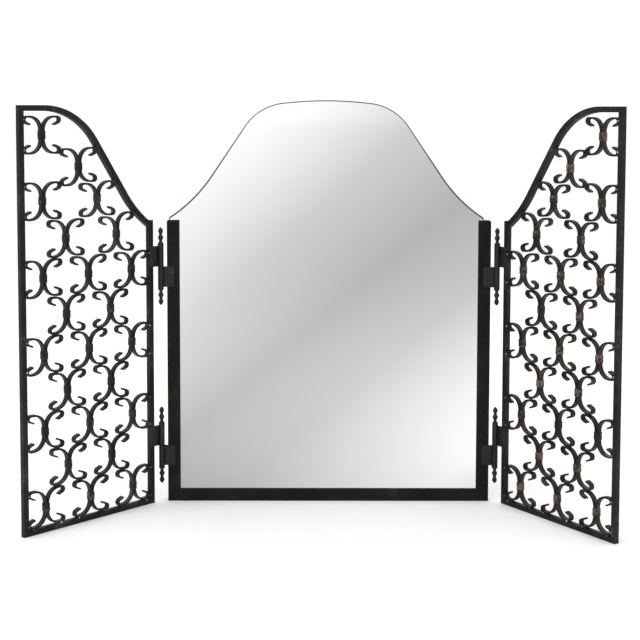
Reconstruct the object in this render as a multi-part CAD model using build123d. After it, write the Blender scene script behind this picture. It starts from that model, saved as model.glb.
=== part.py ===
from build123d import *
from math import asin, atan2, cos, degrees, hypot, radians, sin, sqrt, tan
import os

# Table mirror with three leaves. The middle leaf is an arched mirror plate and its board,
# standing in a frame of steel channel that is open at the top. On each side of the frame a
# wing of square bar hangs on two tall-tipped hinges. Each wing is filled with pairs of
# C-scrolls, forged of flat strip, set back to back and held at the waist by a collar. A wing
# is half of the arch, so the two wings together cover the mirror when they are closed.
# X runs along the mirror, Y runs to the back and Z up. The origin is the middle of the
# underside of the bottom rail. All sizes are in millimetres and degrees.

# Middle frame of channel
frame_width = 571.5
upright_height = 503.0
channel_face = 22.0
channel_wall = 3.0
groove_width = 9.0
upright_corner = 3.0

# Mirror plate and its board
glass_width = 552.0
glass_thickness = 5.0
glass_to_left = 4.5
glass_side_height = 502.5
glass_height = 709.0
crown_half_chord = 78.2
crown_radius = 640.0
glass_shoulder_radius = 90.6
glass_foot_radius = 261.0
glass_foot_slope = 33.0
board_thickness = 3.2
board_rim = 2.0

# Hinges
axis_beside_frame = 10.75
axis_to_wing_bar = 14.8
leaf_length = 24.0
leaf_height = 36.5
leaf_thickness = 2.0
closed_leaf_gap = 0.4
barrel_radius = 5.2
barrel_end = 5.5
barrel_chamfer = 1.6
pin_radius = 3.0
pin_clearance = 0.05
knuckle_gap = 0.3
upper_hinge_height = 421.5
lower_hinge_height = 102.0

# Turned tip of a hinge pin, as radii and heights above the barrel's end
tip_seat_radius = 3.5
tip_neck_radius = 2.7
tip_neck_height = 2.5
tip_bead_radius = 4.8
tip_bead_height = 8.5
tip_waist_height = 14.0
tip_head_radius = 4.4
tip_head_height = 20.5
tip_end_radius = 1.0
tip_length = 26.5

# Wing bars
bar = 9.5
wings_meeting_gap = 4.0
inner_bar_height = 504.0
wing_height = 704.0
top_flat = 41.0
top_shoulder_radius = 130.0
top_foot_radius = 196.0
top_foot_slope = 35.7

# Scrolls and collars
strip_thickness = 2.8
strip_depth = 8.0
column_count = 5
column_pitch = 46.6
row_pitch = 63.4
arc_radius = 22.0
arc_flats = 3
curl_radius = 7.0
curl_turn = 157.0
curl_flats = 3
scroll_tip = 9.0
collar_height = 15.0
collar_wall = 1.2
seat_gap = 0.2
half_waist = 2.5

# Scrolls that follow the curved top bar
crowd_gap = 7.0
curl_stagger = 4.0
third_column_shift = 19.6
fourth_column_shift = 14.0

# Angles of the wings, measured forward from the plane of the mirror
left_wing_angle = 47.5
right_wing_angle = 57.0

# Sizes that follow from the ones above
channel_depth = groove_width + 2 * channel_wall
front_face = -channel_depth / 2
groove_slack = (groove_width - glass_thickness - board_thickness) / 3
glass_front = front_face + channel_wall + groove_slack
board_front = glass_front + glass_thickness + groove_slack
half_frame = frame_width / 2
inside = half_frame - channel_face
axis_before_face = leaf_thickness + closed_leaf_gap / 2
hinge_x = half_frame + axis_beside_frame
hinge_y = front_face - axis_before_face
wing_reach = hinge_x - wings_meeting_gap / 2
inner_face = axis_to_wing_bar + bar
outer_face = wing_reach - bar
clear_width = outer_face - inner_face
scroll_rise = row_pitch / 2
half_unit = (clear_width - (column_count - 1) * column_pitch) / 2 - seat_gap
strip_front = (bar - strip_depth) / 2
bore_radius = pin_radius + pin_clearance
barrel_top = leaf_height + barrel_end + knuckle_gap / 2


def plate(face, front, depth):
    """A flat outline drawn in X and Z, made a plate from y = front backwards."""
    return extrude(Plane.XZ.offset(-front) * face, depth, dir=(0, 1, 0))


def box(x_range, y_range, z_range):
    """A box between the given pairs of coordinates."""
    spans = [b - a for a, b in (x_range, y_range, z_range)]
    solid = Box(*spans, align=(Align.MIN, Align.MIN, Align.MIN))
    return Pos(x_range[0], y_range[0], z_range[0]) * solid


# Arched outlines

class Ogee:
    """A rounded shoulder, a straight slope and a hollow foot, each tangent to the next.

    It runs from start to end in growing x and falling height. Slopes are in degrees below the
    horizontal, and an inset moves the whole line inwards, square to itself.
    """

    def __init__(self, start, start_slope, shoulder, foot, end, end_slope):
        a, c = radians(start_slope), radians(end_slope)
        self.shoulder, self.foot = shoulder, foot
        self.first, self.last = a, c
        self.high = (start[0] - shoulder * sin(a), start[1] - shoulder * cos(a))
        self.low = (end[0] + foot * sin(c), end[1] + foot * cos(c))
        across = self.low[0] - self.high[0]
        down = self.high[1] - self.low[1]
        self.slope = atan2(down, across) + asin((shoulder + foot) / hypot(across, down))

    def on_shoulder(self, angle, inset=0.0):
        """The point of the shoulder where it has sloped to the angle."""
        reach = self.shoulder - inset
        return (self.high[0] + reach * sin(angle), self.high[1] + reach * cos(angle))

    def on_foot(self, angle, inset=0.0):
        """The point of the foot where it still slopes at the angle."""
        reach = self.foot + inset
        return (self.low[0] - reach * sin(angle), self.low[1] - reach * cos(angle))

    def edges(self, inset=0.0):
        """Shoulder arc, straight slope and foot arc."""
        turn = (self.first + self.slope) / 2
        back = (self.slope + self.last) / 2
        a, b, c = [self.on_shoulder(t, inset) for t in (self.first, turn, self.slope)]
        d, e, f = [self.on_foot(t, inset) for t in (self.slope, back, self.last)]
        return [ThreePointArc(a, b, c), Line(c, d), ThreePointArc(d, e, f)]

    def height(self, x, inset=0.0):
        """The height of the inset line above x, level before the shoulder."""
        if x < self.high[0]:
            return self.high[1] + self.shoulder - inset
        c, d = self.on_shoulder(self.slope, inset), self.on_foot(self.slope, inset)
        if x < c[0]:
            return self.high[1] + sqrt((self.shoulder - inset) ** 2 - (x - self.high[0]) ** 2)
        if x > d[0]:
            return self.low[1] - sqrt((self.foot + inset) ** 2 - (x - self.low[0]) ** 2)
        return c[1] - (x - c[0]) * tan(self.slope)


def half_arch(rim):
    """Right half of the mirror plate's outline, its sides and arch larger by the rim."""
    foot = (glass_width / 2 + rim, channel_wall + glass_side_height + rim)
    top = channel_wall + glass_height + rim
    crown = crown_radius + rim
    tilt = asin(crown_half_chord / crown_radius)
    middle, end = [(crown * sin(t), top - crown * (1 - cos(t))) for t in (tilt / 2, tilt)]
    ogee = Ogee(end, degrees(tilt), glass_shoulder_radius + rim, glass_foot_radius - rim,
                foot, glass_foot_slope)
    corner, centre = (foot[0], channel_wall), (0, channel_wall)
    return Face(Wire([ThreePointArc((0, top), middle, end), *ogee.edges(), Line(foot, corner),
                      Line(corner, centre), Line(centre, (0, top))]))


def both_halves(face, front, depth):
    """A plate of the given half outline and its mirror image."""
    half = plate(face, front, depth)
    return Pos(-glass_to_left, 0, 0) * (half + mirror(half, Plane.YZ))


def make_glass():
    """The mirror plate, standing on the web of the bottom rail."""
    return both_halves(half_arch(0.0), glass_front, glass_thickness)


def make_board():
    """The board behind the plate. Its rim stands out round the arch."""
    return both_halves(half_arch(board_rim), board_front, board_thickness)


# Channel frame, mitred at its two corners

def channel(outline, groove):
    """A member of the frame: a mitred outline less the groove, a box in X and Z."""
    member = plate(outline, front_face, channel_depth)
    return member - box(groove[0], (-groove_width / 2, groove_width / 2), groove[1])


def make_left_upright():
    """Left upright, open at the top, with its foot cut to the mitre."""
    outline = Polygon((-half_frame, 0), (-inside, channel_face), (-inside, upright_height),
                      (-half_frame, upright_height), align=None)
    outline = fillet(outline.vertices().sort_by(Axis.Y)[-2:].sort_by(Axis.X)[0], upright_corner)
    return channel(outline, ((channel_wall - half_frame, -inside), (0, upright_height)))


def make_rail():
    """Bottom rail between the two mitres, its groove open upwards."""
    outline = Polygon((-half_frame, 0), (half_frame, 0), (inside, channel_face),
                      (-inside, channel_face), align=None)
    return channel(outline, ((-half_frame, half_frame), (channel_wall, channel_face)))


# Hinges, drawn on the right side with the axis on Z and the wing along positive X

def make_leaf(low, wing_side):
    """A leaf and its knuckle. The wing's leaf is the upper half of its hinge."""
    reach = leaf_length if wing_side else -leaf_length
    plane_y = (axis_before_face - leaf_thickness, axis_before_face)
    leaf = box(sorted((0, reach)), plane_y, (low, low + leaf_height))
    barrel_low = low if wing_side else low - barrel_end
    barrel_length = leaf_height + barrel_end
    knuckle = Cylinder(barrel_radius, barrel_length, align=(Align.CENTER, Align.CENTER, Align.MIN))
    far_end = knuckle.edges().filter_by(GeomType.CIRCLE).sort_by(Axis.Z)[-1 if wing_side else 0]
    knuckle = chamfer(far_end, barrel_chamfer)
    bore = Cylinder(bore_radius, barrel_length + leaf_height,
                    align=(Align.CENTER, Align.CENTER, Align.CENTER))
    solid = leaf + Pos(0, 0, barrel_low) * knuckle
    return solid - Pos(0, 0, low + leaf_height / 2) * bore


def tip_outline(seat):
    """Radii and heights of a turned tip that sits on the barrel's end at the seat height."""
    way = 1 if seat > 0 else -1
    steps = [(tip_seat_radius, 0), (tip_neck_radius, tip_neck_height),
             (tip_bead_radius, tip_bead_height), (tip_neck_radius, tip_waist_height),
             (tip_head_radius, tip_head_height), (tip_end_radius, tip_length), (0, tip_length)]
    return [(r, seat + way * h) for r, h in steps]


def turned(outline, middle):
    """The outline of radii and heights, revolved about the hinge axis."""
    return Pos(0, 0, middle) * revolve(Plane.XZ * Polygon(*outline, align=None), Axis.Z)


def make_pin(middle):
    """Pin of one hinge with its upper tip. It hangs through both knuckles."""
    seat = barrel_top + knuckle_gap
    return turned([(0, -barrel_top), (pin_radius, -barrel_top), (pin_radius, seat),
                   *tip_outline(seat)], middle)


def make_cap(middle):
    """Lower tip, screwed to the end of the pin under the frame's knuckle."""
    return turned([(0, -barrel_top), *tip_outline(-barrel_top)], middle)


# Wing bars, with u measured from the hinge axis along the wing

top_line = Ogee((top_flat, wing_height), 0.0, top_shoulder_radius, top_foot_radius,
                (clear_width, inner_bar_height), top_foot_slope)
bar_front = axis_before_face


def upright_bar(near, height):
    """A square bar standing with its near face at u = near."""
    return box((near, near + bar), (bar_front, bar_front + bar), (0, height))


def make_bottom_bar():
    """Bottom bar, butted between the two upright bars."""
    return box((inner_face, outer_face), (bar_front, bar_front + bar), (0, bar))


def make_top_bar():
    """Bent top bar, flat at the outer bar and sloping down to the inner one."""
    slope = top_line.last
    outer_edge = top_line.edges()
    inner_edge = top_line.edges(bar)
    foot_outer, foot_inner = outer_edge[2] @ 1, inner_edge[2] @ 1
    heel = (clear_width, inner_bar_height - bar / cos(slope))
    start_outer, start_inner = (0, wing_height), (0, wing_height - bar)
    wire = Wire([Line(start_outer, outer_edge[0] @ 0), *outer_edge, Line(foot_outer, heel),
                 Line(heel, foot_inner), *inner_edge, Line(inner_edge[0] @ 0, start_inner),
                 Line(start_inner, start_outer)])
    bent = plate(Face(wire), bar_front, bar)
    return Pos(outer_face, 0, 0) * mirror(bent, Plane.YZ)


# Scrolls

def limb(rise):
    """One limb of a C-scroll as matching corners of its outer and inner sides.

    The back of the scroll is x = 0 and its opening is towards positive x. The limb leaves the
    waist upwards, bends over a quarter circle to its flat at the given rise, and curls in.
    """
    bend = radians(90) / arc_flats
    twist = radians(curl_turn) / curl_flats
    curl_reach = max(sin((i + 0.5) * twist) for i in range(curl_flats)) / cos(twist / 2)
    curl_x = half_unit - curl_radius * curl_reach
    corners = []
    for i in range(arc_flats):
        angle = (i + 0.5) * bend
        sides = [r / cos(bend / 2) for r in (arc_radius, arc_radius - strip_thickness)]
        corners.append([(arc_radius - r * cos(angle), rise - arc_radius + r * sin(angle))
                        for r in sides])
    for i in range(curl_flats):
        angle = (i + 0.5) * twist
        sides = [r / cos(twist / 2) for r in (curl_radius, curl_radius - strip_thickness)]
        corners.append([(curl_x + r * sin(angle), rise - curl_radius + r * cos(angle))
                        for r in sides])
    end = radians(curl_turn)
    sides = (curl_radius, curl_radius - strip_thickness)
    corners.append([(curl_x + r * sin(end) + scroll_tip * cos(end),
                     rise - curl_radius + r * cos(end) - scroll_tip * sin(end)) for r in sides])
    return corners


def scroll(u, z, outward, rise_up, rise_down):
    """One C-scroll of the pair at u and z, open outwards or towards the hinge."""
    way = 1 if outward else -1
    upper = limb(rise_up)
    lower = [[(x, -y) for x, y in pair] for pair in limb(rise_down)]
    outline = [pair[0] for pair in reversed(lower)] + [pair[0] for pair in upper]
    outline += [pair[1] for pair in reversed(upper)] + [pair[1] for pair in lower]
    face = Polygon(*[(u + way * x, z + y) for x, y in outline], align=None)
    return plate(face, bar_front + strip_front, strip_depth)


def collar(u, z):
    """The band round the waists of the two scrolls at u and z."""
    width, depth = strip_thickness, (bar_front + strip_front, bar_front + strip_front + strip_depth)
    low, high = z - collar_height / 2, z + collar_height / 2
    outside = box((u - width - collar_wall, u + width + collar_wall),
                  (depth[0] - collar_wall, depth[1] + collar_wall), (low, high))
    return outside - box((u - width, u + width), depth, (low, high))


def units():
    """Every pair of scrolls of a wing, by column from the outer bar to the hinge.

    Each pair is (u, z, rises), with the rises of the outer upper, outer lower, inner upper and
    inner lower limbs. Pairs stand in rows that are staggered from one column to the next, so
    that the flats of one meet the flats of the next. The highest pair of each column is drawn
    in under the top bar, and its limbs are longer or shorter so that they still meet.
    """
    first_u = outer_face - seat_gap - half_unit
    across = [first_u - i * column_pitch for i in range(column_count)]
    first_z = bar + scroll_rise
    crown_z = wing_height - bar - crowd_gap - scroll_rise
    even = [first_z + 2 * i * row_pitch for i in range(5)]
    odd = [first_z + (2 * i + 1) * row_pitch for i in range(4)]
    plain = [scroll_rise] * 4
    columns = [[(across[i], z, plain) for z in (odd if i % 2 else even)] for i in range(5)]

    def under_bar(u, z, outward=False):
        """The rise that takes an upper curl of the pair at u, z up against the top bar."""
        curl_u = u + (half_unit - curl_radius) * (1 if outward else -1)
        inset = bar + curl_radius / cos(radians(curl_turn) / curl_flats / 2) + seat_gap
        return top_line.height(outer_face - curl_u, inset) + curl_radius - z

    def has_room(u, z, rises):
        """Whether every limb has its bend and a waist, and no curl goes past the top bar."""
        return (min(rises) >= arc_radius + half_waist
                and rises[0] <= under_bar(u, z, outward=True) + seat_gap
                and rises[2] <= under_bar(u, z) + seat_gap)

    second_u = across[0] - 2 * half_unit - seat_gap
    second_z = (even[4] + crown_z) / 2
    second_rise = (crown_z - even[4]) / 2 - scroll_rise + 2 * curl_radius - curl_stagger
    third_u, third_z = across[2] - third_column_shift, even[4]
    fourth_u, fourth_z = across[3] - fourth_column_shift, odd[3]
    shared = (second_z - third_z) / 2
    columns[0].append((across[0], crown_z, plain))
    columns[1].append((second_u, second_z,
                       [second_rise, second_rise, under_bar(second_u, second_z), shared]))
    columns[2][4] = (third_u, third_z,
                     [shared, scroll_rise, under_bar(third_u, third_z), scroll_rise])
    columns[3][3] = (fourth_u, fourth_z,
                     [scroll_rise, scroll_rise, under_bar(fourth_u, fourth_z), scroll_rise])
    columns[4] = columns[4][:4]
    columns[0] = [p for p in columns[0] if p[1] <= crown_z - row_pitch or p[1] == crown_z]
    return [[pair for pair in column if has_room(*pair)] for column in columns]


def column_scrolls(column):
    """All scrolls of one column."""
    solids = []
    for u, z, rises in column:
        solids.append(scroll(u, z, True, rises[0], rises[1]))
        solids.append(scroll(u, z, False, rises[2], rises[3]))
    return solids


# Placing and writing

def write(name, solids):
    """Writes one node, a single solid or a group of separate ones."""
    group = [s for shape in solids for s in shape.solids()]
    shape = group[0] if len(group) == 1 else Compound(children=group)
    export_step(shape, os.path.join("parts", name + ".step"))


def place(shape, side, angle):
    """Moves a piece drawn about a hinge axis to the left or right axis, turned forward."""
    if side == "left":
        return Pos(-hinge_x, hinge_y, 0) * Rot(0, 0, angle) * mirror(shape, Plane.YZ)
    return Pos(hinge_x, hinge_y, 0) * Rot(0, 0, -angle) * shape


def hinge_middles():
    """The heights at which the two halves of each hinge meet."""
    return (lower_hinge_height, upper_hinge_height)


def write_wing(side, angle):
    """Writes every node of one wing and the frame's half of its hinges."""
    def put(name, shapes, at_wing=True):
        write(f"{side}_{name}", [place(s, side, angle if at_wing else 0.0) for s in shapes])

    put("outer_bar", [upright_bar(outer_face, wing_height)])
    put("inner_bar", [upright_bar(axis_to_wing_bar, inner_bar_height)])
    put("bottom_bar", [make_bottom_bar()])
    put("top_bar", [make_top_bar()])
    for number, column in enumerate(reversed(units()), 1):
        put(f"scrolls_{number}", column_scrolls(column))
        put(f"collars_{number}", [collar(u, z) for u, z, _ in column])
    half_gap = knuckle_gap / 2
    put("wing_leaves", [make_leaf(z + half_gap, True) for z in hinge_middles()])
    put("frame_leaves", [make_leaf(z - half_gap - leaf_height, False) for z in hinge_middles()],
        at_wing=False)
    put("hinge_pins", [make_pin(z) for z in hinge_middles()], at_wing=False)
    put("pin_caps", [make_cap(z) for z in hinge_middles()], at_wing=False)


def main():
    """Writes every node of the mirror."""
    os.makedirs("parts", exist_ok=True)
    left_upright = make_left_upright()
    write("left_upright", [left_upright])
    write("right_upright", [mirror(left_upright, Plane.YZ)])
    write("bottom_rail", [make_rail()])
    write("mirror_glass", [make_glass()])
    write("backing_board", [make_board()])
    write_wing("left", left_wing_angle)
    write_wing("right", right_wing_angle)


main()
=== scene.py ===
import logging
import math
import random
from dataclasses import dataclass, field
from enum import Enum
from typing import Any, Sequence

import bmesh
import bpy
from mathutils import Matrix, Vector


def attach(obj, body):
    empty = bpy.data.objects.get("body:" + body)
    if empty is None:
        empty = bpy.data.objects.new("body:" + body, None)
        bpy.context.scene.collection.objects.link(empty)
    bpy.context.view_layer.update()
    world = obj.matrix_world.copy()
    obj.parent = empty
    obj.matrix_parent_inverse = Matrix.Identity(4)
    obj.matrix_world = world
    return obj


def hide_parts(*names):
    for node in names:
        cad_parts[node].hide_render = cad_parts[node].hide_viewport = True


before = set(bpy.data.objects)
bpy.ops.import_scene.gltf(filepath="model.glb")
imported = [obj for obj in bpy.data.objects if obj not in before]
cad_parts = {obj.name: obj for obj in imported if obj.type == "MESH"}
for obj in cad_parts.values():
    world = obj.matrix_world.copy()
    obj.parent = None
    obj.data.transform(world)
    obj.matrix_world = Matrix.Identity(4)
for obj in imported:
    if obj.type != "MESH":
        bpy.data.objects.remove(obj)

LOG = logging.getLogger("mirror")
MM = 0.001
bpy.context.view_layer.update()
Colour = tuple[float, float, float]
Point = tuple[float, float, float]
Link = Any

# Sizes of the CAD that several assemblies share, in millimetres. The wing's front and the two
# edges of its opening are measured from its hinge axis.
HINGE_X = 296.5
HINGE_Y = -9.7
WING_FRONT = 2.2
BAR = 9.5
INNER_EDGE = 24.3
OUTER_EDGE = 285.0

SMOOTH_ANGLE = 40.0
SHARP_EDGE = math.radians(60.0)
WELD_GAP = 0.00001
MIX_SHARE, MIX_FIRST, MIX_SECOND, MIX_COLOUR = 0, 6, 7, 2


# Shader maths

class Val:
    """A shader socket that takes part in sums, so that 1 - mask adds a Math node."""

    def __init__(self, graph: "Graph", socket: bpy.types.NodeSocket) -> None:
        """Keeps the graph and its output socket."""
        self.graph = graph
        self.socket = socket

    def _sum(self, operation: str, *values: Link) -> "Val":
        """Adds one Math node.

        Args:
            operation: The node's operation.
            values: Its inputs in order, numbers or sockets.

        Returns:
            The node's value.
        """
        settings = {"operation": operation}
        return self.graph.node("ShaderNodeMath", settings, dict(enumerate(values)))

    def __add__(self, other: Link) -> "Val":
        """self + other."""
        return self._sum("ADD", self, other)

    def __radd__(self, other: Link) -> "Val":
        """other + self."""
        return self._sum("ADD", other, self)

    def __sub__(self, other: Link) -> "Val":
        """self - other."""
        return self._sum("SUBTRACT", self, other)

    def __rsub__(self, other: Link) -> "Val":
        """other - self."""
        return self._sum("SUBTRACT", other, self)

    def __mul__(self, other: Link) -> "Val":
        """self * other."""
        return self._sum("MULTIPLY", self, other)

    def __rmul__(self, other: Link) -> "Val":
        """other * self."""
        return self._sum("MULTIPLY", other, self)

    def __truediv__(self, other: Link) -> "Val":
        """self / other."""
        return self._sum("DIVIDE", self, other)

    def __rtruediv__(self, other: Link) -> "Val":
        """other / self."""
        return self._sum("DIVIDE", other, self)

    def between(self, low: float, high: float) -> "Val":
        """A soft step from 0 below low to 1 above high.

        Args:
            low: Where the step starts.
            high: Where the step ends.

        Returns:
            The step as a value.
        """
        inputs = {"Value": self, "From Min": low, "From Max": high}
        return self.graph.node("ShaderNodeMapRange", {"interpolation_type": "SMOOTHSTEP"}, inputs)


class Graph:
    """The nodes of one material, with its Principled shader."""

    def __init__(self, name: str) -> None:
        """Makes an empty material.

        Args:
            name: The material's name.
        """
        self.material = bpy.data.materials.new(name)
        self.material.use_nodes = True
        self.tree = self.material.node_tree
        self.shader = self.tree.nodes["Principled BSDF"]

    def node(self, kind: str, settings: dict[str, Any], inputs: dict[Any, Link],
             output: int | str = 0) -> Val:
        """Adds any node.

        Args:
            kind: The node's type.
            settings: Its own settings. A ramp's stops are a list under the name stops.
            inputs: Values or links by socket name or number.
            output: The socket that is wanted.

        Returns:
            The node's output.
        """
        made = self.tree.nodes.new(kind)
        for key, value in settings.items():
            if key == "stops":
                self._stops(made.color_ramp, value)
            else:
                setattr(made, key, value)
        for key, value in inputs.items():
            self.feed(made.inputs[key], value)
        return Val(self, made.outputs[output])

    @staticmethod
    def _stops(ramp: bpy.types.ColorRamp, stops: Sequence[tuple[float, Colour]]) -> None:
        """Sets a ramp's stops.

        Args:
            ramp: The ramp.
            stops: Position and colour of each stop, in order.
        """
        while len(ramp.elements) < len(stops):
            ramp.elements.new(1.0)
        for element, (position, colour) in zip(ramp.elements, stops):
            element.position = position
            element.color = (*colour, 1.0)

    def feed(self, socket: bpy.types.NodeSocket, value: Link) -> None:
        """Links a value to a socket, or sets it there.

        Args:
            socket: The input socket.
            value: A Val, a number or a colour.
        """
        if isinstance(value, Val):
            self.tree.links.new(value.socket, socket)
        elif isinstance(value, tuple) and socket.type == "RGBA":
            socket.default_value = (*value, 1.0)
        else:
            socket.default_value = value

    def set(self, **inputs: Link) -> None:
        """Feeds the shader. Underscores in the names stand for spaces."""
        for key, value in inputs.items():
            self.feed(self.shader.inputs[key.replace("_", " ")], value)

    def place(self) -> Val:
        """Object coordinates."""
        return self.node("ShaderNodeTexCoord", {}, {}, "Object")

    def noise(self, scale: float, detail: float, rough: float = 0.5,
              stretch: Point = (1.0, 1.0, 1.0)) -> Val:
        """A noise value over the object.

        Args:
            scale: Noise scale in cells per metre.
            detail: Octaves.
            rough: How much the finer octaves weigh.
            stretch: Factors on the three axes.

        Returns:
            The noise between 0 and 1.
        """
        where = self.node("ShaderNodeMapping", {}, {"Vector": self.place(), "Scale": stretch})
        inputs = {"Vector": where, "Scale": scale, "Detail": detail, "Roughness": rough}
        return self.node("ShaderNodeTexNoise", {}, inputs)

    def mix(self, share: Link, first: Link, second: Link) -> Val:
        """A colour between two.

        Args:
            share: 0 gives the first colour and 1 the second.
            first: A colour or a link.
            second: A colour or a link.

        Returns:
            The mixed colour.
        """
        inputs = {MIX_SHARE: share, MIX_FIRST: first, MIX_SECOND: second}
        return self.node("ShaderNodeMix", {"data_type": "RGBA"}, inputs, MIX_COLOUR)

    def bump(self, height: Val, strength: float, distance: float) -> Val:
        """A bumped normal.

        Args:
            height: The height as a value.
            strength: How much of the effect is used.
            distance: Height of a value of one, in metres.

        Returns:
            The normal.
        """
        inputs = {"Height": height, "Strength": strength, "Distance": distance}
        return self.node("ShaderNodeBump", {}, inputs)


# Finishes

@dataclass(frozen=True)
class Iron:
    """Blackened and waxed steel, mottled by heat, with wear where it is handled; on the collars
    the same marks also stand for a painted highlight.
    """

    name: str
    dark: Colour
    pale: Colour
    worn: Colour
    wear_and_highlight_from: float = 0.55
    wear_and_highlight_width: float = 0.1
    wear_and_highlight_share: float = 0.6
    smooth: float = 0.32
    rough: float = 0.55
    metal: float = 0.0
    cloud_scale: float = 14.0
    hammer_scale: float = 70.0
    grain_scale: float = 260.0
    bump_share: float = 0.55
    relief: float = 0.00025
    gloss: float = 0.2

    def build(self) -> bpy.types.Material:
        """The material."""
        graph = Graph(self.name)
        clouds = graph.noise(self.cloud_scale, 4.0, 0.6)
        grain = graph.noise(self.grain_scale, 3.0, 0.6)
        hammer = graph.noise(self.hammer_scale, 2.0)
        tone = graph.mix(clouds.between(0.35, 0.68), self.dark, self.pale)
        # Mask of wear marks where the noise is high; on the collars it also places painted
        # highlight.
        rubbed_and_highlight = (clouds * 0.3 + hammer * 0.35 + grain * 0.35).between(
            self.wear_and_highlight_from, self.wear_and_highlight_from + self.wear_and_highlight_width)
        colour = graph.mix(rubbed_and_highlight * self.wear_and_highlight_share, tone, self.worn)
        sheen = self.rough - (self.rough - self.smooth) * (0.6 * rubbed_and_highlight + 0.4 * hammer)
        graph.set(Base_Color=colour, Metallic=self.metal, Roughness=sheen,
                  Specular_IOR_Level=self.gloss,
                  Normal=graph.bump(hammer * 0.7 + grain * 0.3, self.bump_share, self.relief))
        return graph.material


@dataclass(frozen=True)
class PaintedReflectionGlass:
    """Mirror glass with a painted reflection: its base colour runs in soft diagonal bands of
    brightness from corner to corner.
    """

    name: str
    lean: float = 0.85
    cast: Colour = (0.99, 1.0, 1.01)
    polish: float = 0.025
    haze: float = 0.02
    haze_scale: float = 30.0
    span: tuple[float, float] = (-0.85, 0.25)
    bands: tuple[tuple[float, float], ...] = (
        (-0.80, 0.99), (-0.66, 0.80), (-0.54, 0.60), (-0.34, 0.44),
        (-0.16, 0.53), (-0.02, 0.71), (0.14, 0.92))

    def build(self) -> bpy.types.Material:
        """The material."""
        graph = Graph(self.name)
        across = graph.node("ShaderNodeSeparateXYZ", {}, {"Vector": graph.place()}, "X")
        up = Val(graph, across.socket.node.outputs["Z"])
        low, high = self.span
        along = (across * self.lean - up - low) / (high - low)
        # The bands are painted reflection, set into the glass's base colour.
        stops = [((at - low) / (high - low), tuple(tone * part for part in self.cast))
                 for at, tone in self.bands]
        painted_reflection = graph.node("ShaderNodeValToRGB", {"stops": stops}, {0: along})
        haze = graph.noise(self.haze_scale, 3.0)
        graph.set(Base_Color=painted_reflection, Metallic=1.0, Roughness=self.polish + self.haze * haze)
        return graph.material


@dataclass(frozen=True)
class Hardboard:
    """Brown pressed board."""

    name: str
    dark: Colour = (0.085, 0.048, 0.025)
    pale: Colour = (0.15, 0.09, 0.05)
    fibre_scale: float = 320.0
    cloud_scale: float = 9.0
    relief: float = 0.0002

    def build(self) -> bpy.types.Material:
        """The material."""
        graph = Graph(self.name)
        fibre = graph.noise(self.fibre_scale, 4.0, 0.65, (1.0, 1.0, 0.35))
        clouds = graph.noise(self.cloud_scale, 3.0)
        share = (fibre * 0.75 + clouds * 0.25).between(0.35, 0.65)
        colour = graph.mix(share, self.dark, self.pale)
        graph.set(Base_Color=colour, Roughness=0.7 + 0.15 * fibre,
                  Normal=graph.bump(fibre, 0.3, self.relief))
        return graph.material


@dataclass(frozen=True)
class Paper:
    """Even pale studio paper."""

    name: str
    tone: Colour = (0.93, 0.93, 0.93)

    def build(self) -> bpy.types.Material:
        """The material."""
        graph = Graph(self.name)
        graph.set(Base_Color=self.tone, Roughness=0.9)
        return graph.material


class Slot(Enum):
    """The record's material slots, each with its finish."""

    CHANNEL = "channel"
    BAR = "wing_bar"
    SCROLL = "scroll_strip"
    COLLAR = "collar_band"
    HINGE = "hinge"
    GLASS = "mirror_glass"
    BOARD = "backing_board"


FINISHES = {
    Slot.CHANNEL: Iron("frame_iron", (0.0042, 0.0035, 0.0031), (0.0105, 0.0085, 0.0074),
                       (0.034, 0.027, 0.022), wear_and_highlight_share=0.5, gloss=0.12),
    Slot.BAR: Iron("bar_iron", (0.0045, 0.0045, 0.0052), (0.0135, 0.0135, 0.0155),
                   (0.075, 0.073, 0.078), wear_and_highlight_from=0.54, wear_and_highlight_share=0.5, relief=0.0004,
                   gloss=0.16),
    Slot.SCROLL: Iron("scroll_iron", (0.0035, 0.0026, 0.0021), (0.0115, 0.0082, 0.006),
                      (0.11, 0.08, 0.055), wear_and_highlight_from=0.54, relief=0.0005, gloss=0.22),
    # The collars' golden-brown wear colour is partly wear and partly painted highlight.
    Slot.COLLAR: Iron("collar_iron", (0.0042, 0.0031, 0.0024), (0.016, 0.011, 0.0075),
                      (0.26, 0.18, 0.10), wear_and_highlight_from=0.53, wear_and_highlight_share=0.7, relief=0.0005),
    Slot.HINGE: Iron("hinge_iron", (0.0032, 0.0028, 0.0027), (0.0085, 0.0076, 0.0074),
                     (0.06, 0.056, 0.056), wear_and_highlight_from=0.56, smooth=0.22, rough=0.42, gloss=0.3),
    # The glass carries painted reflection bands in its base colour.
    Slot.GLASS: PaintedReflectionGlass("silvered_glass"),
    Slot.BOARD: Hardboard("hardboard"),
}
# A lighter copy of the collar finish with more golden-brown marks, used on the right wing only: a
# painted highlight.
RIGHT_COLLAR_PAINTED_HIGHLIGHT = Iron("rubbed_collar_iron", (0.0055, 0.0038, 0.0028), (0.026, 0.018, 0.011),
                     (0.22, 0.155, 0.10), wear_and_highlight_from=0.49, wear_and_highlight_share=0.62, relief=0.0005)
WELD_FINISH = Iron("weld_metal", (0.12, 0.115, 0.11), (0.30, 0.29, 0.28), (0.55, 0.54, 0.52),
                   wear_and_highlight_from=0.45, wear_and_highlight_share=0.8, smooth=0.2, rough=0.4, metal=0.9)


class Paints:
    """Makes each material once."""

    def __init__(self) -> None:
        """Starts with none."""
        self.made: dict[str, bpy.types.Material] = {}

    def of(self, finish: Any) -> bpy.types.Material:
        """The material of a finish.

        Args:
            finish: A finish with a name and a build method.

        Returns:
            Its material, made at the first call.
        """
        if finish.name not in self.made:
            self.made[finish.name] = finish.build()
        return self.made[finish.name]


PAINTS = Paints()


# Making pieces

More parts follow.
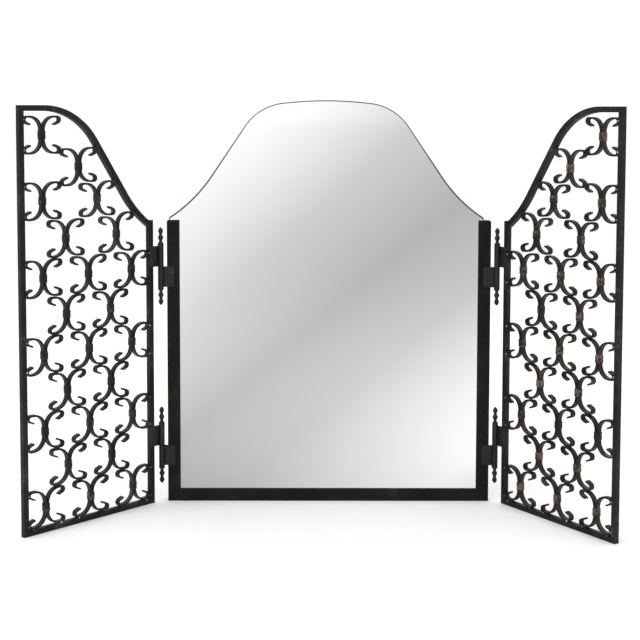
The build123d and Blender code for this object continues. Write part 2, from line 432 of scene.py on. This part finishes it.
def finish_piece(bm: bmesh.types.BMesh, matrix: Matrix, name: str, body: str, slot: Slot,
                 replaced: Sequence[str] = (), paint: Any = None,
                 smooth_angle: float = SMOOTH_ANGLE) -> bpy.types.Object:
    """Turns a bmesh into a finished piece in the row frame.

    Args:
        bm: The bmesh in millimetres, which is freed.
        matrix: From the bmesh's place to the row frame.
        name: The piece's name.
        body: The CAD body that it rides on.
        slot: The material slot that it takes its finish from.
        replaced: CAD nodes that it stands for.
        paint: A finish other than the slot's.
        smooth_angle: Edges sharper than this stay sharp, in degrees.

    Returns:
        The piece.
    """
    bmesh.ops.recalc_face_normals(bm, faces=bm.faces[:])
    bm.transform(matrix)
    if matrix.determinant() < 0.0:
        bmesh.ops.reverse_faces(bm, faces=bm.faces[:])
    mesh = bpy.data.meshes.new(name)
    for face in bm.faces:
        face.smooth = True
    bm.to_mesh(mesh)
    bm.free()
    mesh.set_sharp_from_angle(angle=math.radians(smooth_angle))
    mesh.materials.append(PAINTS.of(paint or FINISHES[slot]))
    piece = bpy.data.objects.new(name, mesh)
    bpy.context.scene.collection.objects.link(piece)
    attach(piece, body)
    if replaced:
        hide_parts(*replaced)
    LOG.info("%s: %d faces on %s", name, len(mesh.polygons), body)
    return piece


def dress_node(name: str, slot: Slot, edge: float = 0.0) -> None:
    """Gives a CAD node its material and, if wanted, eased edges.

    Args:
        name: The node.
        slot: Its material slot.
        edge: Width of the eased edges in millimetres.
    """
    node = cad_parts[name]
    paint = PAINTS.of(FINISHES[slot])
    if not node.material_slots:
        node.data.materials.append(paint)
    for place in node.material_slots:
        place.material = paint
    if edge > 0.0:
        weld = node.modifiers.new("joined", "WELD")
        weld.merge_threshold = WELD_GAP
        ease = node.modifiers.new("eased", "BEVEL")
        ease.width = edge * MM
        ease.segments = 2
        ease.limit_method = "ANGLE"
        ease.angle_limit = math.radians(SMOOTH_ANGLE)
    LOG.info("%s dressed", name)


def block(bm: bmesh.types.BMesh, low: Sequence[float], high: Sequence[float],
          ease: float) -> list[bmesh.types.BMVert]:
    """Adds a box with eased edges.

    Args:
        bm: The bmesh.
        low: Lowest corner.
        high: Highest corner.
        ease: Width of the eased edges.

    Returns:
        The box's vertices.
    """
    size = Vector(high) - Vector(low)
    middle = (Vector(high) + Vector(low)) / 2
    matrix = Matrix.Translation(middle) @ Matrix.Diagonal((*size, 1.0))
    verts = bmesh.ops.create_cube(bm, size=1.0, matrix=matrix)["verts"]
    edges = list({edge for vert in verts for edge in vert.link_edges})
    made = bmesh.ops.bevel(bm, geom=edges, offset=ease, affect="EDGES", segments=2,
                           profile=0.5, material=-1, clamp_overlap=True)
    return list({vert for face in made["faces"] for vert in face.verts})


def ease_edges(bm: bmesh.types.BMesh, width: float, segments: int) -> None:
    """Rounds every edge that is sharper than SHARP_EDGE.

    Args:
        bm: The bmesh.
        width: Width of the rounding.
        segments: Faces across it.
    """
    sharp = [edge for edge in bm.edges
             if len(edge.link_faces) == 2 and edge.calc_face_angle() > SHARP_EDGE]
    bmesh.ops.bevel(bm, geom=sharp, offset=width, affect="EDGES", segments=segments,
                    profile=0.5, material=-1, clamp_overlap=True)


def lathe(bm: bmesh.types.BMesh, outline: Sequence[tuple[float, float]],
          closed: bool, steps: int = 28) -> list[bmesh.types.BMVert]:
    """Turns an outline round the Z axis.

    Args:
        bm: The bmesh.
        outline: Radius and height of each point.
        closed: Whether the last point joins the first, as for a tube.
        steps: Number of faces round the axis.

    Returns:
        The new vertices.
    """
    start = set(bm.verts)
    verts = [bm.verts.new((radius, 0.0, height)) for radius, height in outline]
    pairs = list(zip(verts, verts[1:]))
    if closed:
        pairs.append((verts[-1], verts[0]))
    edges = [bm.edges.new(pair) for pair in pairs]
    bmesh.ops.spin(bm, geom=verts + edges, cent=(0, 0, 0), axis=(0, 0, 1),
                   angle=2 * math.pi, steps=steps, use_merge=True)
    made = [vert for vert in bm.verts if vert not in start]
    bmesh.ops.remove_doubles(bm, verts=made, dist=0.001)
    return [vert for vert in bm.verts if vert not in start]


class Side(Enum):
    """The two wings: the sign of X at their hinge and their angle in the photograph."""

    LEFT = (-1.0, 47.5)
    RIGHT = (1.0, 57.0)

    @property
    def word(self) -> str:
        """The side's name as the nodes have it."""
        return self.name.lower()

    @property
    def body(self) -> str:
        """The wing's body."""
        return f"{self.word}_wing"

    def matrix(self, turned: bool) -> Matrix:
        """Places what is drawn about a hinge axis in millimetres.

        Args:
            turned: Whether the piece turns with the wing.

        Returns:
            The matrix to the row frame in metres.
        """
        sign, angle = self.value
        turn = math.radians(-sign * angle) if turned else 0.0
        place = Matrix.Translation((sign * HINGE_X * MM, HINGE_Y * MM, 0.0))
        scale = Matrix.Diagonal((sign * MM, MM, MM, 1.0))
        return place @ Matrix.Rotation(turn, 4, "Z") @ scale


class Strip:
    """A length of bar that is laid out by straight runs and turns in the XZ plane.

    The bar's guide line runs at its left as it travels. Its section begins at the inset to the
    right of that line and reaches on by the thickness, and backwards by the depth.
    """

    def __init__(self, bm: bmesh.types.BMesh, at: tuple[float, float], heading: float,
                 thickness: float, front: float, depth: float, inset: float = 0.0) -> None:
        """Starts the bar with its first end face.

        Args:
            bm: The bmesh.
            at: Start of the guide line in X and Z.
            heading: Direction of travel in degrees from the X axis towards Z.
            thickness: Size of the section across the travel.
            front: Y of the front face.
            depth: Size of the section along Y.
            inset: Distance from the guide line to the section.
        """
        self.bm = bm
        self.at = Vector((at[0], front, at[1]))
        self.heading = math.radians(heading)
        self.known = set(bm.verts)
        near = self.at + self.right * inset
        far = near + self.right * thickness
        back = Vector((0.0, depth, 0.0))
        corners = [near, far, far + back, near + back]
        self.end = bm.faces.new([bm.verts.new(corner) for corner in corners])
        self.begun = False

    @property
    def ahead(self) -> Vector:
        """Unit vector of travel."""
        return Vector((math.cos(self.heading), 0.0, math.sin(self.heading)))

    @property
    def right(self) -> Vector:
        """Unit vector to the right of the travel."""
        return Vector((math.sin(self.heading), 0.0, -math.cos(self.heading)))

    def run(self, length: float) -> "Strip":
        """Goes straight on.

        Args:
            length: How far.

        Returns:
            The strip itself.
        """
        self.push()
        bmesh.ops.translate(self.bm, verts=self.end.verts[:], vec=self.ahead * length)
        self.at = self.at + self.ahead * length
        return self

    def push(self) -> None:
        """Extrudes the end face, keeping the first one as the bar's start."""
        old = self.end
        made = bmesh.ops.extrude_face_region(self.bm, geom=[old], use_keep_orig=True)
        self.end = [item for item in made["geom"] if isinstance(item, bmesh.types.BMFace)][0]
        if self.begun:
            bmesh.ops.delete(self.bm, geom=[old], context="FACES_ONLY")
        self.begun = True

    def bend(self, angle: float, radius: float, steps: int) -> "Strip":
        """Turns along an arc whose centre lies to the right, or to the left if angle is negative.

        Args:
            angle: Degrees to the right.
            radius: Radius of the guide line.
            steps: Number of straight pieces that stand for the arc.

        Returns:
            The strip itself.
        """
        centre = self.at + self.right * (radius if angle > 0 else -radius)
        turn = math.radians(angle)
        step = Matrix.Rotation(turn / steps, 3, "Y")
        for _ in range(steps):
            self.push()
            bmesh.ops.rotate(self.bm, verts=self.end.verts[:], cent=centre, matrix=step)
        self.at = centre + Matrix.Rotation(turn, 3, "Y") @ (self.at - centre)
        self.heading -= turn
        return self

    def narrow(self, share: float) -> "Strip":
        """Draws the end out thinner about its middle.

        Args:
            share: New size of the end as a share of the old.

        Returns:
            The strip itself.
        """
        middle = self.end.calc_center_median()
        scale = Vector((share, 1.0, share))
        bmesh.ops.scale(self.bm, vec=scale, verts=self.end.verts[:],
                        space=Matrix.Translation(-middle))
        return self

    def verts(self) -> list[bmesh.types.BMVert]:
        """All vertices of this bar."""
        return [vert for vert in self.bm.verts if vert not in self.known]


# Wings

@dataclass(frozen=True)
class Pair:
    """Two C-scrolls back to back, with the rises of their four limbs.

    The rises are those of the outer upper, outer lower, inner upper and inner lower limbs.
    """

    u: float
    z: float
    rises: tuple[float, float, float, float]


@dataclass
class Grille:
    """The scrolls, collars and weld beads of one wing.

    Under the sloping bar the top pairs of the first four columns have places or limbs of their
    own, which are given in the order of the columns from the outer bar.
    """

    side: Side
    thickness: float = 3.28
    inset: float = 0.41
    depth: float = 9.3
    edge: float = 0.45
    pitch: float = 46.6
    first: float = 247.85
    first_z: float = 41.2
    rise: float = 31.7
    half_unit: float = 36.95
    arc: float = 24.0
    curl: float = 7.0
    curl_turn: float = 157.0
    tip: float = 8.6
    tip_share: float = 0.8
    curl_steps: int = 9
    arc_steps: int = 8
    scroll_lean: float = 0.4
    first_top_z: float = 655.8
    second_top: Pair = Pair(173.75, 602.1, (32.0, 32.0, 33.08, 26.85))
    third_top_u: float = 135.05
    third_top_rises: tuple[float, float, float, float] = (26.85, 31.7, 29.12, 31.7)
    fourth_top_u: float = 94.05
    fourth_top_rises: tuple[float, float, float, float] = (31.7, 31.7, 37.48, 31.7)
    collar_half: float = 4.7
    collar_height: float = 13.5
    collar_wall: float = 0.6
    collar_edge: float = 0.8
    collar_lean: float = 1.5
    bead_depths: tuple[float, float] = (-4.0, -0.6)
    bead_sizes: tuple[float, float] = (0.7, 1.9)
    bead_shift: float = 1.0
    jitter: random.Random = field(default_factory=lambda: random.Random(7))

    def columns(self) -> list[list[Pair]]:
        """The pairs of each column, from the hinge to the outer bar."""
        rise = self.rise
        even = [self.first_z + 4 * i * rise for i in range(5)]
        odd = [self.first_z + (4 * i + 2) * rise for i in range(4)]
        plain = (rise, rise, rise, rise)
        columns = [[Pair(self.first - i * self.pitch, z, plain) for z in (odd if i % 2 else even)]
                   for i in range(5)]
        columns[0].append(Pair(self.first, self.first_top_z, plain))
        columns[1].append(self.second_top)
        columns[2][4] = Pair(self.third_top_u, even[4], self.third_top_rises)
        columns[3][3] = Pair(self.fourth_top_u, odd[3], self.fourth_top_rises)
        columns[4] = columns[4][:4]
        return list(reversed(columns))

    def scroll(self, bm: bmesh.types.BMesh, pair: Pair, outward: bool) -> None:
        """Adds one C-scroll.

        Args:
            bm: The bmesh, drawn about the hinge axis in millimetres.
            pair: The pair that it belongs to.
            outward: Whether it opens towards the outer bar.
        """
        # The path starts at the tip of the lower curl, so that point is worked out first.
        rise_up, rise_down = pair.rises[:2] if outward else pair.rises[2:]
        flat = self.half_unit - self.arc - self.curl
        start = Vector((self.half_unit - self.curl, -rise_down + self.curl))
        swing = math.radians(self.curl_turn)
        ring = Vector((math.sin(swing), -math.cos(swing))) * self.curl
        way = Vector((math.cos(swing), math.sin(swing))) * self.tip
        at = start + ring + way
        front = WING_FRONT + (BAR - self.depth) / 2
        heading = 180.0 + self.curl_turn
        strip = Strip(bm, (at.x, at.y), heading, self.thickness, front, self.depth, self.inset)
        strip.run(self.tip / 2).run(self.tip / 2)
        strip.bend(self.curl_turn, self.curl, self.curl_steps).run(flat)
        strip.bend(90.0, self.arc, self.arc_steps).run(rise_up + rise_down - 2 * self.arc)
        strip.bend(90.0, self.arc, self.arc_steps).run(flat)
        strip.bend(self.curl_turn, self.curl, self.curl_steps).run(self.tip)
        strip.narrow(self.tip_share)
        verts = strip.verts()
        lean = self.jitter.uniform(-self.scroll_lean, self.scroll_lean)
        bmesh.ops.rotate(bm, verts=verts, cent=(0, 0, 0),
                         matrix=Matrix.Rotation(math.radians(lean), 3, "Y"))
        if not outward:
            bmesh.ops.scale(bm, vec=(-1.0, 1.0, 1.0), verts=verts)
        bmesh.ops.translate(bm, vec=(pair.u, 0.0, pair.z), verts=verts)

    def build(self) -> None:
        """Makes the columns of scrolls and collars, and the weld beads."""
        word, body, matrix = self.side.word, self.side.body, self.side.matrix(True)
        for number, column in enumerate(self.columns(), 1):
            bm = bmesh.new()
            for pair in column:
                self.scroll(bm, pair, True)
                self.scroll(bm, pair, False)
            ease_edges(bm, self.edge, 1)
            finish_piece(bm, matrix, f"{word}_forged_scrolls_{number}", body, Slot.SCROLL,
                         [f"{word}_scrolls_{number}"])
            bm = bmesh.new()
            for pair in column:
                self.collar(bm, pair)
            # The right wing's collars take the lighter copy of the collar finish, a painted
            # highlight.
            paint = RIGHT_COLLAR_PAINTED_HIGHLIGHT if self.side is Side.RIGHT else None
            finish_piece(bm, matrix, f"{word}_forged_collars_{number}", body, Slot.COLLAR,
                         [f"{word}_collars_{number}"], paint)
        self.welds(matrix)

    def collar(self, bm: bmesh.types.BMesh, pair: Pair) -> None:
        """Adds the collar of one pair, a band with a softened outline.

        Args:
            bm: The bmesh.
            pair: The pair.
        """
        front = WING_FRONT + (BAR - self.depth) / 2
        lean = self.jitter.uniform(-self.collar_lean, self.collar_lean)
        low = (-self.collar_half, front - self.collar_wall, -self.collar_height / 2)
        high = (self.collar_half, front + self.depth + self.collar_wall, self.collar_height / 2)
        verts = block(bm, low, high, self.collar_edge)
        place = Matrix.Translation((pair.u, 0.0, pair.z))
        turn = Matrix.Rotation(math.radians(lean), 4, "Y")
        bmesh.ops.transform(bm, matrix=place @ turn, verts=verts)

    def seats(self) -> list[tuple[float, float]]:
        """Where curls are welded to the bars, in u and z."""
        columns = self.columns()
        height = self.rise - self.curl
        reach = self.half_unit - self.curl - 2.0
        found = []
        for column, edge in ((columns[-1], OUTER_EDGE), (columns[0], INNER_EDGE)):
            found += [(edge, pair.z + way * height) for pair in column for way in (1, -1)]
        for column in columns[::2]:
            found += [(column[0].u + way * reach, BAR) for way in (1, -1)]
        return found

    def welds(self, matrix: Matrix) -> None:
        """Makes the weld beads as one piece.

        Args:
            matrix: From the wing's drawing to the row frame.
        """
        bm = bmesh.new()
        middle = WING_FRONT + BAR / 2
        for u, z in self.seats():
            for depth in self.bead_depths:
                size = self.jitter.uniform(*self.bead_sizes)
                scale = Matrix.Diagonal((size * 1.1, 1.8, size * 1.4, 1.0))
                shift = self.jitter.uniform(-self.bead_shift, self.bead_shift)
                place = Matrix.Translation((u, middle + depth, z + shift))
                bmesh.ops.create_icosphere(bm, subdivisions=2, radius=1.0, matrix=place @ scale)
        finish_piece(bm, matrix, f"{self.side.word}_weld_beads", self.side.body, Slot.SCROLL,
                     paint=WELD_FINISH, smooth_angle=80.0)


@dataclass
class WingFrame:
    """The four bars round one wing."""

    side: Side
    height: float = 704.0
    flat: float = 41.0
    shoulder: float = 130.0
    foot: float = 196.0
    foot_slope: float = 35.7
    inner_height: float = 504.0
    shoulder_steps: int = 28
    foot_steps: int = 16
    overrun: float = 12.0
    edge: float = 0.7

    def bent_bar(self) -> None:
        """Makes the top bar, bent down from the outer bar to the inner one."""
        # Slope and length of the straight run that is tangent to the shoulder and the foot
        span = OUTER_EDGE - INNER_EDGE
        last = math.radians(self.foot_slope)
        across = span + self.foot * math.sin(last) - self.flat
        down = self.height - self.shoulder - self.inner_height - self.foot * math.cos(last)
        reach = math.hypot(across, down)
        both = self.shoulder + self.foot
        slope = math.degrees(math.atan2(down, across) + math.asin(both / reach))

        # The bar runs past the inner bar, is cut there, and is then turned to face its hinge.
        bm = bmesh.new()
        strip = Strip(bm, (0.0, self.height), 0.0, BAR, WING_FRONT, BAR)
        strip.run(self.flat).bend(slope, self.shoulder, self.shoulder_steps)
        strip.run(math.sqrt(reach**2 - both**2))
        strip.bend(self.foot_slope - slope, self.foot, self.foot_steps).run(self.overrun)
        whole = bm.verts[:] + bm.edges[:] + bm.faces[:]
        cut = bmesh.ops.bisect_plane(bm, geom=whole, plane_co=(span, 0, 0), plane_no=(1, 0, 0),
                                     clear_outer=True)
        rim = [item for item in cut["geom_cut"] if isinstance(item, bmesh.types.BMEdge)]
        bmesh.ops.contextual_create(bm, geom=rim)
        ease_edges(bm, self.edge, 2)
        bmesh.ops.dissolve_degenerate(bm, dist=0.001, edges=bm.edges[:])
        bmesh.ops.scale(bm, vec=(-1, 1, 1), verts=bm.verts[:])
        bmesh.ops.translate(bm, vec=(OUTER_EDGE, 0, 0), verts=bm.verts[:])
        word = self.side.word
        finish_piece(bm, self.side.matrix(True), f"{word}_bent_bar", self.side.body, Slot.BAR,
                     [f"{word}_top_bar"])

    def build(self) -> None:
        """Dresses the straight bars and makes the bent one."""
        for name in ("outer_bar", "inner_bar", "bottom_bar"):
            dress_node(f"{self.side.word}_{name}", Slot.BAR, self.edge)
        self.bent_bar()


@dataclass
class HingePair:
    """The two hinges of one side, each with a leaf on the frame and one on the wing."""

    side: Side
    middles: tuple[float, float] = (102.0, 421.5)
    leaf_length: float = 24.0
    leaf_height: float = 36.5
    leaf_front: float = 0.2
    leaf_back: float = 2.2
    barrel: float = 5.2
    barrel_end: float = 5.5
    bore: float = 3.05
    pin: float = 3.0
    gap: float = 0.3
    softening: float = 1.6
    softening_steps: int = 4
    chamfer: float = 0.4
    leaf_edge: float = 0.35
    stations: tuple[tuple[float, float], ...] = (
        (0.0, 3.4), (2.5, 2.7), (8.6, 4.8), (14.1, 2.7), (20.6, 4.4), (26.5, 1.0))
    station_steps: int = 5
    point: float = 1.6

    def barrel_outline(self, low: float, high: float,
                       round_top: bool) -> list[tuple[float, float]]:
        """Outline of a knuckle with one rounded end.

        Args:
            low: Its lower end.
            high: Its upper end.
            round_top: Whether the upper end is the rounded one.

        Returns:
            Radii and heights of the closed outline.
        """
        soft = self.softening
        shoulder = []
        for i in range(self.softening_steps + 1):
            angle = math.radians(90.0 * i / self.softening_steps)
            shoulder.append((self.barrel - soft + soft * math.cos(angle), soft * math.sin(angle)))
        plain, rounded, way = (low, high, 1.0) if round_top else (high, low, -1.0)
        outer = [(radius, rounded + way * (height - soft)) for radius, height in shoulder]
        return [(self.bore, rounded), (self.bore, plain), (self.barrel - self.chamfer, plain),
                (self.barrel, plain + way * self.chamfer), *outer]

    def half(self, bm: bmesh.types.BMesh, middle: float, on_wing: bool) -> None:
        """Adds one leaf with its knuckle.

        Args:
            bm: The bmesh.
            middle: Height at which the hinge's halves meet.
            on_wing: Whether it is the wing's half, the upper one.
        """
        near = middle + self.gap / 2 if on_wing else middle - self.gap / 2
        far = near + (self.leaf_height if on_wing else -self.leaf_height)
        end = far + (self.barrel_end if on_wing else -self.barrel_end)
        low, high = sorted((near, end))
        lathe(bm, self.barrel_outline(low, high, on_wing), closed=True)
        reach = self.leaf_length if on_wing else -self.leaf_length
        root = math.copysign(self.bore + 1.0, reach)
        span = sorted((root, reach))
        block(bm, (span[0], self.leaf_front, min(near, far)),
              (span[1], self.leaf_back, max(near, far)), self.leaf_edge)

    def tip_outline(self, seat: float, way: float) -> list[tuple[float, float]]:
        """Outline of a turned tip.

        Args:
            seat: Height of its seat on the barrel's end.
            way: 1 for an upper tip and -1 for a lower one.

        Returns:
            Radii and heights from the seat to the point.
        """
        length = self.stations[-1][0]
        outline = [(self.stations[0][1], seat)]
        for (h0, r0), (h1, r1) in zip(self.stations, self.stations[1:]):
            for i in range(1, self.station_steps + 1):
                share = i / self.station_steps
                swell = (1 - math.cos(math.pi * share)) / 2
                if h1 == length:
                    swell = share ** self.point
                outline.append((r0 + (r1 - r0) * swell, seat + way * (h0 + (h1 - h0) * share)))
        outline.append((0.0, seat + way * length))
        return outline

    def build(self) -> None:
        """Makes leaves, pins and caps."""
        word, body = self.side.word, self.side.body
        top = self.leaf_height + self.barrel_end + self.gap / 2
        halves = {True: bmesh.new(), False: bmesh.new()}
        pins, caps = bmesh.new(), bmesh.new()
        for middle in self.middles:
            for on_wing, bm in halves.items():
                self.half(bm, middle, on_wing)
            seat = middle + top + self.gap
            foot = middle - top
            shaft = [(0.0, foot), (self.pin, foot), (self.pin, seat)]
            lathe(pins, shaft + self.tip_outline(seat, 1.0), closed=False)
            lathe(caps, [(0.0, foot)] + self.tip_outline(foot, -1.0), closed=False)
        for on_wing, bm in halves.items():
            name = "wing_leaves" if on_wing else "frame_leaves"
            home = body if on_wing else "mirror_frame"
            finish_piece(bm, self.side.matrix(on_wing), f"{word}_turned_{name}", home,
                         Slot.HINGE, [f"{word}_{name}"])
        for name, bm in (("hinge_pins", pins), ("pin_caps", caps)):
            finish_piece(bm, self.side.matrix(False), f"{word}_turned_{name}", "mirror_frame",
                         Slot.HINGE, [f"{word}_{name}"], smooth_angle=50.0)


@dataclass
class MiddleLeaf:
    """The channel frame, the mirror plate and its board."""

    edge: float = 0.6

    def build(self) -> None:
        """Dresses the CAD nodes of the middle leaf."""
        for name in ("left_upright", "right_upright", "bottom_rail"):
            dress_node(name, Slot.CHANNEL, self.edge)
        dress_node("mirror_glass", Slot.GLASS)
        dress_node("backing_board", Slot.BOARD)


# Studio

@dataclass(frozen=True)
class Lamp:
    """A square soft lamp: its name, place, side in metres and power in watts."""

    name: str
    at: Point
    size: float
    power: float


@dataclass
class Studio:
    """Pale floor, soft light and the camera."""

    lamps: tuple[Lamp, ...] = (Lamp("key", (-1.5, -1.2, 2.3), 0.7, 16.0),
                               Lamp("fill", (1.9, -0.9, 1.6), 0.7, 4.0),
                               Lamp("back", (0.4, 2.4, 2.2), 1.4, 8.0))
    lamp_aim: Point = (0.0, 0.0, 0.35)
    surround: float = 1.12
    floor_radius: float = 60.0
    camera_at: Point = (-0.0293, -2.4501, 0.7009)
    pitch: float = 4.28
    yaw: float = -0.31
    roll: float = 0.14
    focal_pixels: float = 1391.9
    image: float = 640.0
    shift_y: float = -0.169

    def floor(self) -> None:
        """Makes the floor."""
        bm = bmesh.new()
        bmesh.ops.create_circle(bm, cap_ends=True, segments=96, radius=self.floor_radius)
        mesh = bpy.data.meshes.new("studio_floor")
        bm.to_mesh(mesh)
        bm.free()
        mesh.materials.append(PAINTS.of(Paper("studio_paper")))
        floor = bpy.data.objects.new("studio_floor", mesh)
        bpy.context.scene.collection.objects.link(floor)

    def light(self, lamp: Lamp) -> None:
        """Adds a lamp that shines at the mirror.

        Args:
            lamp: The lamp.
        """
        light = bpy.data.lights.new(lamp.name, "AREA")
        light.size = lamp.size
        light.energy = lamp.power
        made = bpy.data.objects.new(lamp.name, light)
        made.location = lamp.at
        aim = Vector(self.lamp_aim) - Vector(lamp.at)
        made.rotation_euler = aim.to_track_quat("-Z", "Y").to_euler()
        bpy.context.scene.collection.objects.link(made)

    def camera(self) -> None:
        """Sets the camera as the photograph's."""
        data = bpy.data.cameras.new("camera")
        data.sensor_width = 36.0
        data.lens = self.focal_pixels / self.image * data.sensor_width
        data.shift_y = self.shift_y
        data.clip_end = 200.0
        camera = bpy.data.objects.new("camera", data)
        camera.location = self.camera_at
        turns = ((self.yaw, "Z"), (90.0 - self.pitch, "X"), (self.roll, "Z"))
        yaw, tilt, roll = [Matrix.Rotation(math.radians(turn), 3, axis) for turn, axis in turns]
        camera.rotation_euler = (yaw @ tilt @ roll).to_euler()
        bpy.context.scene.collection.objects.link(camera)
        bpy.context.scene.camera = camera

    def build(self) -> None:
        """Sets up floor, light and camera."""
        scene = bpy.context.scene
        scene.view_settings.view_transform = "Standard"
        world = bpy.data.worlds.new("studio")
        world.use_nodes = True
        background = world.node_tree.nodes["Background"]
        background.inputs["Color"].default_value = (1, 1, 1, 1)
        background.inputs["Strength"].default_value = self.surround
        scene.world = world
        self.floor()
        for lamp in self.lamps:
            self.light(lamp)
        self.camera()


def main() -> None:
    """Builds the mirror piece by piece and sets the scene."""
    logging.basicConfig(level=logging.INFO, format="%(name)s: %(message)s")
    MiddleLeaf().build()
    for side in Side:
        WingFrame(side).build()
        Grille(side).build()
        HingePair(side).build()
    Studio().build()


if __name__ == "__main__":
    main()
